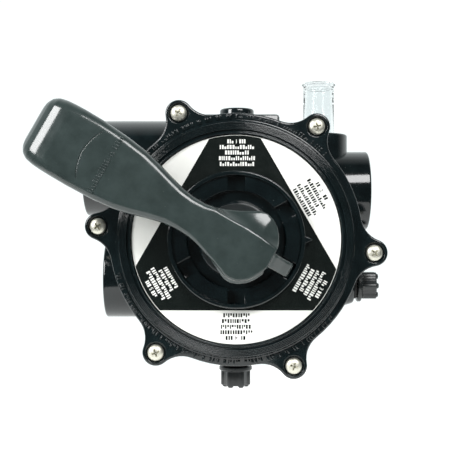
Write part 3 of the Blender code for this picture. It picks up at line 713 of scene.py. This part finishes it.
def makeCover():
    back, face = cover["flangeBack"], cover["flangeFace"]
    plate = combined(
        slab(lobedOutline(), back, face, 1.3, 4), "DIFFERENCE", [rod(75, back - 1, face + 1, 120)]
    )
    nib = slab(
        [(48.4, -3.1), (54.4, -0.5), (54.4, 0.5), (48.4, 3.1)],
        cover["labelFloor"] + 1.4,
        cover["bossTop"] - 1,
        0.4,
        2,
    )
    whole = combined(coverCrown(), "UNION", [plate, nib])
    cutters = []
    low, high, half = cover["labelFloor"] + 0.8, cover["teethTop"] + 1, cover["slotWidth"] / 2
    for k in range(6):
        slot = block((cover["recessRadius"] - 3, -half, low), (cover["teethRadius"] - 0.3, half, high), 0.5)
        cutters.append(laid(slot, turnedBy(30 + 60 * k)))
    seat = face - cover["counterboreDepth"]
    wide = cover["counterbore"]
    for place in screwPlaces:
        profile = [
            (0, back - 2),
            (3.3, back - 2),
            (3.3, seat),
            (wide, seat),
            (wide, face - 0.4),
            (wide + 0.5, face + 0.1),
        ]
        hole = spun(profile + [(wide + 0.5, face + 1), (0, face + 1)], 48)
        cutters.append(laid(hole, Matrix.Translation((place.x, place.y, 0))))
    return combined(whole, "DIFFERENCE", cutters)


showPiece("coverLid", makeCover(), [blackAbs], "valve", ["cover"], 28)
print("cover made")

marks = {"radius": 89.9, "height": 3.7, "proud": 0.7, "arcs": ((44, 136), (196, 322)), "seed": 7}


def raisedMarks():
    # plain raised bars round the flange where a maker would put words
    draw = Random(marks["seed"])
    bars = []
    for start, end in marks["arcs"]:
        angle = start
        while angle < end:
            width = draw.uniform(0.7, 2.1)
            tall = marks["height"] * draw.choice((1, 1, 0.55))
            near = marks["radius"] - marks["height"] / 2
            low = cover["flangeFace"] - 0.5
            bar = block(
                (near, -width / 2, low), (near + tall, width / 2, cover["flangeFace"] + marks["proud"]), 0.25
            )
            bars.append(laid(bar, turnedBy(angle)))
            angle += (width + draw.choice((0.7, 0.8, 0.9, 3.2))) / marks["radius"] * 180 / pi
    return gathered(bars)


showPiece("coverRaisedMarks", raisedMarks(), [blackAbs], "valve", [])


# ---- label

labelLow, labelHigh = nodeBox("position_label")
label = {
    "outer": labelHigh.x,
    "inner": cover["bossRadius"] + 0.3,
    "top": labelHigh.z - 0.08,
    "ink": 0.03,
    "inradius": 52.3,
    "slip": (-0.9, 1.0),
    "rows": (71.2, 67.1, 63.1, 59, 54.8),
    "rowHeight": 2.9,
    "stroke": (0.8, 1.5),
    "gap": (0.5, 0.75),
    "seed": 11,
}


def labelTriangle():
    corner = 2 * label["inradius"]
    outline = [turnedBy(angle) @ Vector((corner, 0, 0)) for angle in (90, 210, 330)]
    shape = slab([point.xy for point in outline], label["top"] - 0.2, label["top"] + label["ink"])
    laid(shape, Matrix.Translation((*label["slip"], 0)))
    ring = spun(
        [(label["inner"], label["top"] - 1), (label["outer"] - 0.4, label["top"] - 1)]
        + [(label["outer"] - 0.4, label["top"] + 1), (label["inner"], label["top"] + 1)],
        180,
    )
    return combined(shape, "INTERSECT", [ring])


def numeral(text, height):
    curve = bpy.data.curves.new("numeral", "FONT")
    curve.body, curve.size, curve.align_x, curve.extrude = text, height * 1.42, "CENTER", label["ink"] / 2
    obj = bpy.data.objects.new("numeral", curve)
    bpy.context.collection.objects.link(obj)
    graph = bpy.context.evaluated_depsgraph_get()
    mesh = bpy.data.meshes.new_from_object(obj.evaluated_get(graph))
    bm = bmesh.new()
    bm.from_mesh(mesh)
    bpy.data.objects.remove(obj)
    bpy.data.meshes.remove(mesh)
    return bm


def printBlock(angle, number):
    # one position's print: its number between two strokes, then four rows of plain strokes, tops outwards
    draw = Random(label["seed"] + number)
    top = label["top"] + 1.5 * label["ink"]
    shapes = []
    for row, radius in enumerate(label["rows"]):
        half = 6.5 if row == 0 else draw.uniform(8, 13)
        low = radius - label["rowHeight"] / 2
        if row == 0:
            shapes.append(laid(numeral(str(number), label["rowHeight"]), Matrix.Translation((0, low, top))))
        across = -half
        while across < half:
            width = draw.uniform(*label["stroke"])
            if row > 0 or abs(across + width / 2) > 2.6:
                tall = label["rowHeight"] * draw.choice((1, 1, 1, 0.6))
                shapes.append(
                    block((across, low, top - 0.05), (across + width, low + tall, top + label["ink"]))
                )
            across += width + draw.uniform(*label["gap"])
    return laid(gathered(shapes), turnedBy(angle - 90))


plate = spun(
    [(label["inner"], labelLow.z), (label["outer"], labelLow.z)]
    + [
        (label["outer"], label["top"] - 0.1),
        (label["outer"] - 0.15, label["top"]),
        (label["inner"], label["top"]),
    ],
    180,
)
showPiece("positionLabel", plate, [whiteFilm], "valve", ["position_label"])
showPiece("labelTriangle", labelTriangle(), [blackInk], "valve", [])
positions = {90: 1, 30: 2, -30: 3, -90: 4, -150: 5, 150: 6}
onBlack = gathered([printBlock(angle, number) for angle, number in positions.items() if number % 2])
onWhite = gathered([printBlock(angle, number) for angle, number in positions.items() if number % 2 == 0])
showPiece("labelPrintWhite", onBlack, [whiteFilm], "valve", [])
showPiece("labelPrintBlack", onWhite, [blackInk], "valve", [])
print("label made")


# ---- cover fasteners

screw = {
    "head": 6,
    "headHeight": 4.4,
    "shank": 3,
    "length": 33,
    "wing": 2.9,
    "wingWidth": 1.3,
    "recess": 3.2,
    "pitch": 1,
}


def makeScrew():
    head, tall, shank = screw["head"], screw["headHeight"], screw["shank"]
    profile = [(0, -screw["length"]), (shank - 0.7, -screw["length"]), (shank - 0.1, -screw["length"] + 0.8)]
    z = -screw["length"] + 1.2
    while z < -17:
        profile += [(shank - 0.45, z), (shank, z + 0.5)]
        z += screw["pitch"]
    profile += [(shank, 0), (head - 0.4, 0), (head, 0.4), (head, 1.5)]
    profile += [
        (head - 0.15, 2.1),
        (head - 0.6, 2.8),
        (head - 1.4, 3.5),
        (head - 2.6, 4.05),
        (head - 4.2, 4.3),
        (0, tall),
    ]
    whole = spun(profile, 40)
    wings = []
    for k in range(2):
        outline = [(-screw["wing"], tall + 1), (-screw["wing"], tall - 0.3), (-0.9, tall - screw["recess"])]
        outline += [(-x, z) for x, z in reversed(outline)]
        wing = slab(outline, -screw["wingWidth"] / 2, screw["wingWidth"] / 2)
        wings.append(laid(laid(wing, Matrix.Rotation(pi / 2, 4, "X")), turnedBy(90 * k)))
    return combined(whole, "DIFFERENCE", wings)


def makeNut():
    hexagon = [(5.77 * cos(radians(60 * k)), 5.77 * sin(radians(60 * k))) for k in range(6)]
    chamfer = spun([(0, -5), (5.0, -5), (5.9, -4.4), (5.9, -0.6), (5.0, 0), (0, 0)], 48)
    bore = spun([(0, -6), (3.9, -6), (3.9, -5), (3.2, -4.4), (3.2, -0.6), (3.9, 0), (3.9, 1), (0, 1)], 32)
    return combined(combined(slab(hexagon, -5, 0), "INTERSECT", [chamfer]), "DIFFERENCE", [bore])


def makeWasher():
    outer = arcPoints((5.75, -0.25), 0.25, 0, 90, 3)
    return spun([(3.3, -1.6), (5.9, -1.6), (6, -1.45)] + outer + [(3.4, 0), (3.3, -0.1)], 48)


recessTurns = (12, 63, 38, 21, 74, 47)
for k in range(flange["lobes"]):
    number = k + 1
    for kind, make, slotName in (("screw", makeScrew, 0), ("washer", makeWasher, 0), ("nut", makeNut, 0)):
        node = f"cover_{kind}_{number}"
        low, high = nodeBox(node)
        seat = high.z - screw["headHeight"] if kind == "screw" else high.z
        middle = (low + high) / 2
        turn = turnedBy(recessTurns[k]) if kind == "screw" else Matrix.Identity(4)
        shape = laid(make(), Matrix.Translation((middle.x, middle.y, seat)) @ turn)
        showPiece(f"cover{kind.capitalize()}{number}", shape, [steel], "valve", [node], 30)
print("fasteners made")


# ---- handle

handle = {
    "turn": 150,
    "heel": 154.3,
    "top": nodeBox("handle")[1].z - 0.4,
    "under": 163.2,
    "wall": 4,
    "tongueWidth": 10.8,
    "tongueReach": 43.4,
    "slotRadius": 9.4,
    "slotHalf": 3.7,
    "voxel": 0.9,
}
handlePlace = turnedBy(handle["turn"])

# down the handle from its tip: distance from the valve axis, half-width, sideways shift, drop of the top
# and radius of the upper edges
handleSections = (
    (162.3, 13.6, 0, 15.4, 2.0),
    (160.9, 18.2, 0, 11.4, 4.5),
    (158.2, 21.8, 0, 7.2, 7.5),
    (154.2, 24.2, 0, 3.8, 9),
    (148.5, 25.3, 0, 1.6, 9),
    (142, 25.7, 0, 0.5, 8.5),
    (134, 25.9, 0, 0.1, 7.5),
    (120, 25.8, 0.2, 0, 6.5),
    (100, 24.7, 0.6, 0, 6),
    (84, 22.9, 0.9, 0, 6),
    (72, 20.0, 1.0, 0, 6),
    (60, 16.6, 1.1, 0.1, 6),
    (49, 13.7, 1.3, 0.2, 5.5),
    (40, 12.6, 1.5, 0.4, 5),
    (30, 12.7, 1.7, 0.6, 4.2),
    (24, 13.9, 1.6, 0.7, 3.8),
    (18, 15.9, 1.4, 0.8, 3.4),
    (12, 18.2, 1.2, 0.9, 3.2),
    (6, 20.9, 1.0, 1.0, 3),
    (0, 24.2, 0.8, 1.2, 3),
    (-5, 26.6, 0.7, 1.3, 3),
    (-10, 27.2, 0.6, 1.4, 3),
    (-15, 25.6, 0.5, 1.6, 3),
    (-20, 22.2, 0.4, 1.9, 3),
    (-24, 17.6, 0.3, 2.3, 3),
    (-27, 11.6, 0.2, 2.8, 2.5),
)

# the scoop beside the band: distance along, where the crease runs across, and the depth at the outline
scoopSections = (
    (50, -15, 0.2), (40, -12.4, 3), (30, -11.2, 6), (20, -10.4, 8), (8, -9.8, 9.6), (-3, -9.4, 10.4)
)
scoopSections += ((-13, -8.4, 10.6), (-22, -7.6, 10.6), (-34, -6.8, 10.6))
# the step round the other side: distance along and how far in from the outline it starts
stepSections = (
    (22, -1.5),
    (17, -0.4),
    (12, 0.6),
    (8, 1.3),
    (4, 1.8),
    (0, 2.1),
    (-3, 2.2),
    (-6, 2.3),
    (-9, 2.4),
    (-12, 2.5),
)
stepSections += ((-15, 2.6), (-18, 2.8), (-20.5, 3), (-23, 3.4), (-25, 4), (-26.8, 5), (-33, 6))


def outlineAt(along):
    # half-width and sideways shift of the blade at a distance along it
    for (far, farHalf, farShift, *_), (near, nearHalf, nearShift, *_) in zip(
        handleSections, handleSections[1:]
    ):
        if near <= along <= far:
            share = (along - near) / (far - near)
            return nearHalf + share * (farHalf - nearHalf), nearShift + share * (farShift - nearShift)
    return handleSections[-1][1:3]


def loft(rings):
    # a closed body through rings of (along, across, height) points
    bm = bmesh.new()
    loops = []
    for ring in rings:
        verts = [bm.verts.new(point) for point in ring]
        loops.append([bm.edges.new(pair) for pair in zip(verts, verts[1:] + verts[:1])])
    for near, far in zip(loops, loops[1:]):
        bmesh.ops.bridge_loops(bm, edges=near + far)
    bmesh.ops.holes_fill(bm, edges=loops[0] + loops[-1])
    bmesh.ops.recalc_face_normals(bm, faces=bm.faces[:])
    return bm


def sectionRing(along, half, shift, drop, edge, low):
    top = handle["top"] - drop
    edge = min(edge, half * 0.6, (top - low) * 0.45)
    under = min(1.6, edge)
    points = arcPoints((half - edge, top - edge), edge, 0, 90, 6) + arcPoints(
        (edge - half, top - edge), edge, 90, 180, 6
    )
    points += arcPoints((under - half, low + under), under, 180, 270, 3)
    points += arcPoints((half - under, low + under), under, 270, 360, 3)
    return [(along, across + shift, z) for across, z in points]


def handleBlade():
    # paddle, neck and the round end over the hub, as one loft
    rings = []
    for along, half, shift, drop, edge in handleSections:
        low = handle["under"] + (3 if along < 40 else 0) + max(0, along - 150) * 0.25
        rings.append(sectionRing(along, half, shift, drop, edge, low))
    return loft(rings)


def scoopCutter():
    # a hollow flank, steep beside the band and flattening towards the rim
    rings = []
    for along, crease, depth in scoopSections:
        half, shift = outlineAt(along)
        wide = max(1.5, crease - (shift - half))
        ring = [(along, -45, handle["top"] + 6), (along, -45, handle["top"] - depth - 0.8)]
        for k in reversed(range(9)):
            share = k / 8
            fall = 0.55 * share + 0.45 * (1 - (1 - share) ** 2.5)
            ring.append((along, crease - wide * share, handle["top"] - 0.3 - depth * fall))
        ring.append((along, crease + 0.2, handle["top"] + 6))
        rings.append(ring)
    return loft(rings)


def stepCutter():
    rings = []
    for along, inset in stepSections:
        half, shift = outlineAt(along)
        start = half + shift - inset
        high, low = handle["top"] + 6, handle["top"] - 5.5
        corners = [(start, high), (start, low + 2.4), (start + 1.2, low), (45, low - 1), (45, high)]
        rings.append([(along, across, z) for across, z in corners])
    return loft(rings)


def handleHub():
    # the round foot that bears on the washer, trimmed to the blade's outline where the neck leaves it
    foot = [
        (0, handle["heel"]),
        (23.5, handle["heel"]),
        (24, 154.8),
        (25.6, 157),
        (27.2, 161),
        (28, 166),
        (28, 172),
        (0, 172),
    ]
    outline = [(along, half - 0.4 + shift) for along, half, shift, drop, edge in handleSections if along < 50]
    outline += [
        (along, shift - half + 0.4)
        for along, half, shift, drop, edge in reversed(handleSections) if along < 50
    ]
    return combined(spun(foot, 96), "INTERSECT", [slab(outline, 150, 180)])


def handleTongue():
    # the tongue drops from the round end into its slot in the cover's teeth
    reach = handle["tongueReach"]
    side = [
        (-16, 160),
        (-30, 153),
        (-36, 147.4),
        (-reach, 147.4),
        (-reach, 164.6),
        (-reach + 1.6, 167.4),
        (-37, 171.5),
    ]
    side += [(-30, 179), (-25, 182.4), (-16, 184)]
    tongue = slab(side, -handle["tongueWidth"] / 2, handle["tongueWidth"] / 2, 0.7, 2)
    return laid(tongue, Matrix.Rotation(pi / 2, 4, "X"))


def handleHollows():
    # underside bays between a middle rib and four cross ribs, then the stem's slot and the pin's hole
    inset = [
        (along, half - handle["wall"], shift)
        for along, half, shift, drop, edge in handleSections if 46 < along < 150
    ]
    outline = [(along, half + shift) for along, half, shift in inset] + [
        (along, shift - half) for along, half, shift in reversed(inset)
    ]
    bays = slab(outline, 160, handle["top"] - 4.8, 1.2, 2)
    ribs = [block((30, -0.7, 150), (170, 2.3, 200))]
    ribs += [block((along - 1.5, -40, 150), (along + 1.5, 40, 200)) for along in (68, 90, 112, 134)]
    radius, half = handle["slotRadius"], handle["slotHalf"]
    slot = slab(
        arcPoints((half, 0), radius, -90, 90, 16) + arcPoints((-half, 0), radius, 90, 270, 16), 150, 180.6
    )
    pinBore = laid(rod(3.3, -40, 40, 48), towards((0, 1, 0), (0, 0, nodeMiddle("handle_pin").z)))
    return [combined(bays, "DIFFERENCE", ribs), slot, pinBore, scoopCutter(), stepCutter()]


handleMarks = {
    "arcAlong": 115.8,
    "arcRise": 5.2,
    "arcHalf": 18,
    "cusp": 0.5,
    "groove": 0.55,
    "rowAlong": 103,
    "rowHalf": 22,
}


def gripLine():
    # a fine groove across the paddle, curved towards the tip with a small peak in the middle
    count = 24
    spots = []
    for i in range(count + 1):
        share = abs(2 * i / count - 1)
        along = handleMarks["arcAlong"] + handleMarks["arcRise"] * (1 - share**2.2)
        along += handleMarks["cusp"] * max(0, 1 - 6 * share)
        spots.append(Vector((along, handleMarks["arcHalf"] * (2 * i / count - 1), handle["top"] + 0.1)))
    groove = [
        laid(rod(handleMarks["groove"], -0.1, (b - a).length + 0.1, 8), towards(b - a, a))
        for a, b in zip(spots, spots[1:])
    ]
    return combined(groove[0], "UNION", groove[1:], "MANIFOLD")


def makeHandle():
    whole = combined(handleBlade(), "UNION", [handleHub(), handleTongue()])
    whole = combined(whole, "DIFFERENCE", handleHollows())
    rough = sketch("handleRough", whole)
    remesh = rough.modifiers.new("even", "REMESH")
    remesh.mode, remesh.voxel_size, remesh.use_smooth_shade = "VOXEL", handle["voxel"], True
    smooth = rough.modifiers.new("relax", "SMOOTH")
    smooth.factor, smooth.iterations = 0.5, 5
    even = combined(settled(rough), "DIFFERENCE", [gripLine()], "MANIFOLD")
    print("handle faces:", len(even.faces))
    return laid(even, handlePlace)


showPiece("pressHandle", makeHandle(), [satinAbs], "handle", ["handle"], 50)


def makeHandleMarks():
    # a row of small raised bars across the paddle
    top, draw, across = handle["top"] - 0.5, Random(5), -handleMarks["rowHalf"]
    shapes = []
    while across < handleMarks["rowHalf"]:
        width = draw.uniform(0.6, 1.5)
        tall = 3.8 * draw.choice((1, 1, 0.6))
        low = handleMarks["rowAlong"] - 1.9
        shapes.append(
            block((low, across, top - 0.6), (low + tall, across + width, handle["top"] + 0.35), 0.12)
        )
        across += width + draw.choice((0.8, 0.9, 1.0, 2.6))
    return laid(gathered(shapes), handlePlace)


showPiece("handleRaisedMarks", makeHandleMarks(), [satinAbs], "handle", [])
print("handle made")


# ---- sight glass and plugs


def makeSightGlass():
    low, high = nodeBox("sight_glass")
    radius, wall, lip, bottom, top = 12.25, 2.3, 13.25, low.y, high.y
    narrow = radius - 0.3
    profile = [(0, top - 0.5), (lip - 2.4, top - 0.5)] + arcPoints((lip - 1.6, top - 0.7), 0.7, 150, 0, 5)
    profile += arcPoints((lip - 0.7, top - 1.5), 0.7, 0, -90, 4) + [
        (narrow + 0.5, top - 2.3), (narrow, top - 3)
    ]
    profile += [
        (radius, bottom + 12), (radius, bottom + 0.3), (radius - 0.4, bottom), (radius - wall, bottom)
    ]
    profile += [(radius - wall, bottom + 12), (narrow - wall, top - 5)] + arcPoints(
        (narrow - wall - 1.8, top - 4.6), 1.8, 0, 90, 4
    )
    profile += [(0, top - 2.8)]
    middle = (low + high) / 2
    return laid(spun(profile, 96), towards((0, 1, 0), (middle.x, 0, middle.z)))


showPiece("sightGlassCup", makeSightGlass(), [clearCup], "valve", ["sight_glass"], 40)


def makePlug():
    # fluted hand plug with the boss's face at z = 0: thread, collar, knob with six lobes and a bumped end
    thread = [(0, -12), (5.4, -12), (6.4, -11)]
    z = -10.6
    while z < -0.5:
        thread += [(6.6, z), (5.9, z + 0.9)]
        z += 1.9
    thread += [(6.3, 1.2), (6.3, 3)]
    base = spun(thread + [(12.4, 3), (13, 3.6), (13, 5.6), (12.3, 6.3), (10.4, 7), (0, 7)], 96)
    points = 96
    lobes = []
    for i in range(points):
        angle = tau * i / points
        wave = max(-0.55, cos(6 * angle))
        radius = 10.35 + 1.3 * wave
        lobes.append((radius * cos(angle), radius * sin(angle)))
    knob = slab(lobes, 6.4, 18.2, 0.9, 3)
    whole = combined(base, "UNION", [knob])
    bumps = []
    for k in range(6):
        bump = rod(2.2, 15, 19.6, 32, 1.1)
        bumps.append(laid(bump, turnedBy(60 * k) @ Matrix.Translation((8.2, 0, 0))))
    whole = combined(whole, "UNION", bumps)
    dish = spun([(0, 17), (4.6, 17.2), (5.4, 18.4), (5.4, 21), (0, 21)], 48)
    return combined(whole, "DIFFERENCE", [dish])


plugFaces = {
    "drain_plug": ((0, -1, 0), (nodeMiddle("drain_plug").x, -98, body["axisHeight"])),
    "side_plug": ((1, 0, 0), (93, nodeMiddle("side_plug").y, body["axisHeight"])),
}
for node, (outward, face) in plugFaces.items():
    place = towards(outward, face)
    name = {"drain_plug": "drainPlug", "side_plug": "sidePlug"}[node]
    showPiece(name, laid(makePlug(), place), [plugAbs], node, [node], 35)
    seal = laid(oRing(9.5, 1.2), place @ Matrix.Translation((0, 0, 1.5)))
    showPiece(f"{name}Seal", seal, [rubber], f"{node}_seal", [f"{node}_o_ring"])
print("sight glass and plugs made")


# ---- seals, spring and the pieces inside

sealRings = {
    "cover_o_ring": ("coverSeal", "valve", 76.2, 1.5),
    "stem_o_ring_lower": ("stemSealLower", "stem", 8.45, 0.8),
    "stem_o_ring_upper": ("stemSealUpper", "stem", 8.45, 0.8),
}
for node, (name, rider, ring, section) in sealRings.items():
    shape = laid(oRing(ring, section), Matrix.Translation((0, 0, nodeMiddle(node).z)))
    showPiece(name, shape, [rubber], rider, [node])
glassRing = nodeMiddle("sight_glass_o_ring")
shape = laid(oRing(10.9, 1.05), towards((0, 1, 0), glassRing))
showPiece("sightGlassSeal", shape, [rubber], "valve", ["sight_glass_o_ring"])

spring = {"coil": 17.8, "wire": 1.5, "turns": 5, "stepsPerTurn": 40, "sides": 14}


def makeSpring():
    low, high = nodeBox("spring")
    bottom, rise = low.z + spring["wire"], high.z - low.z - 2 * spring["wire"]
    steps = spring["turns"] * spring["stepsPerTurn"]
    bm = bmesh.new()
    across = Matrix.Translation((spring["coil"], 0, bottom)) @ Matrix.Rotation(pi / 2, 4, "X")
    bmesh.ops.create_circle(bm, segments=spring["sides"], radius=spring["wire"], matrix=across)
    bmesh.ops.spin(
        bm,
        geom=bm.verts[:] + bm.edges[:],
        cent=(0, 0, 0),
        axis=(0, 0, 1),
        angle=tau * spring["turns"],
        steps=steps,
        dvec=(0, 0, rise / steps),
    )
    bmesh.ops.holes_fill(bm, edges=[e for e in bm.edges if e.is_boundary])
    bmesh.ops.recalc_face_normals(bm, faces=bm.faces[:])
    return bm


coil = showPiece("rotorSpring", makeSpring(), [steel], "stem", ["spring"])
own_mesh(coil)

insideLooks = {
    "rotor": innerAbs,
    "spider_gasket": rubber,
    "spring_washer_lower": steel,
    "spring_washer_upper": steel,
    "handle_pin": steel,
    "thrust_washer": acetal,
}
for node, material in insideLooks.items():
    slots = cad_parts[node].material_slots
    if slots:
        slots[0].material = material
    else:
        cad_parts[node].data.materials.append(material)
print("inside pieces made")


# ---- camera, floor and light

camera = {"lens": 78, "distance": 725, "left": 5.3, "up": 7.7}
view = bpy.data.cameras.new("camera")
view.lens, view.sensor_width = camera["lens"], 36
eye = bpy.data.objects.new("camera", view)
bpy.context.collection.objects.link(eye)
eye.location = toRow @ Vector((-camera["left"], camera["up"], cover["flangeFace"] + camera["distance"]))
eye.rotation_euler = (pi / 2, 0, 0)
scene = bpy.context.scene
scene.camera = eye

studio = {
    "floorDrop": 0.05,
    "floorRadius": 0.42,
    "floorColour": "#f4f4f2",
    "floorGlow": 0.35,
    "front": 0.08,
    "back": 1.2,
}


def makeFloor():
    # painted studio floor: pale, matt, barely mottled
    material, tree, shader = newMaterial("studioFloorPaint")
    where = addNode(tree, "ShaderNodeTexCoord").outputs["Object"]
    patch = addNode(tree, "ShaderNodeTexNoise", {"Scale": perMetre(300), "Detail": 3}, {"Vector": where})
    tree.links.new(
        tint(tree, patch.outputs["Fac"], studio["floorColour"], "#fafaf9"), shader.inputs["Base Color"]
    )
    shader.inputs["Roughness"].default_value = 0.9
    shader.inputs["Emission Color"].default_value = hexColour("#ffffff")
    shader.inputs["Emission Strength"].default_value = studio["floorGlow"]
    bm = bmesh.new()
    level = Matrix.Translation((0, 0, cadBox[0].z - studio["floorDrop"]))
    bmesh.ops.create_circle(bm, cap_ends=True, segments=96, radius=studio["floorRadius"], matrix=level)
    floor = sketch("studioFloor", bm)
    floor.data.materials.append(material)


def makeWorld():
    # a white room that is darker behind the camera, so that faces turned to it stay deep black
    world = bpy.data.worlds.new("studioRoom")
    scene.world = world
    world.use_nodes = True
    tree = world.node_tree
    direction = addNode(tree, "ShaderNodeTexCoord").outputs["Generated"]
    parts = addNode(tree, "ShaderNodeSeparateXYZ", None, {0: direction})
    level = ramp(tree, parts.outputs["Y"], studio["front"], studio["back"], -0.15, 0.5)
    seen = addNode(tree, "ShaderNodeLightPath").outputs["Is Camera Ray"]
    strength = addNode(tree, "ShaderNodeMix", {3: 1.15}, {0: seen, 2: level}).outputs[0]
    background = tree.nodes["Background"]
    background.inputs["Color"].default_value = hexColour("#f4fbfb")
    tree.links.new(strength, background.inputs["Strength"])


def softbox(name, place, target, size, watts):
    light = bpy.data.lights.new(name, "AREA")
    light.shape, light.size, light.size_y, light.energy = "RECTANGLE", size[0], size[1], watts
    obj = bpy.data.objects.new(name, light)
    bpy.context.collection.objects.link(obj)
    obj.location = place
    obj.rotation_euler = (Vector(target) - Vector(place)).to_track_quat("-Z", "Y").to_euler()


makeFloor()
makeWorld()
middle = (0, -0.12, 0)
softbox("keyLeft", (-1.1, -1.0, 0.65), middle, (0.5, 0.95), 28)
softbox("keyRight", (0.5, -1.35, 0.9), middle, (0.85, 0.6), 22)
scene.view_settings.view_transform = "Standard"
print("camera, floor and light made")
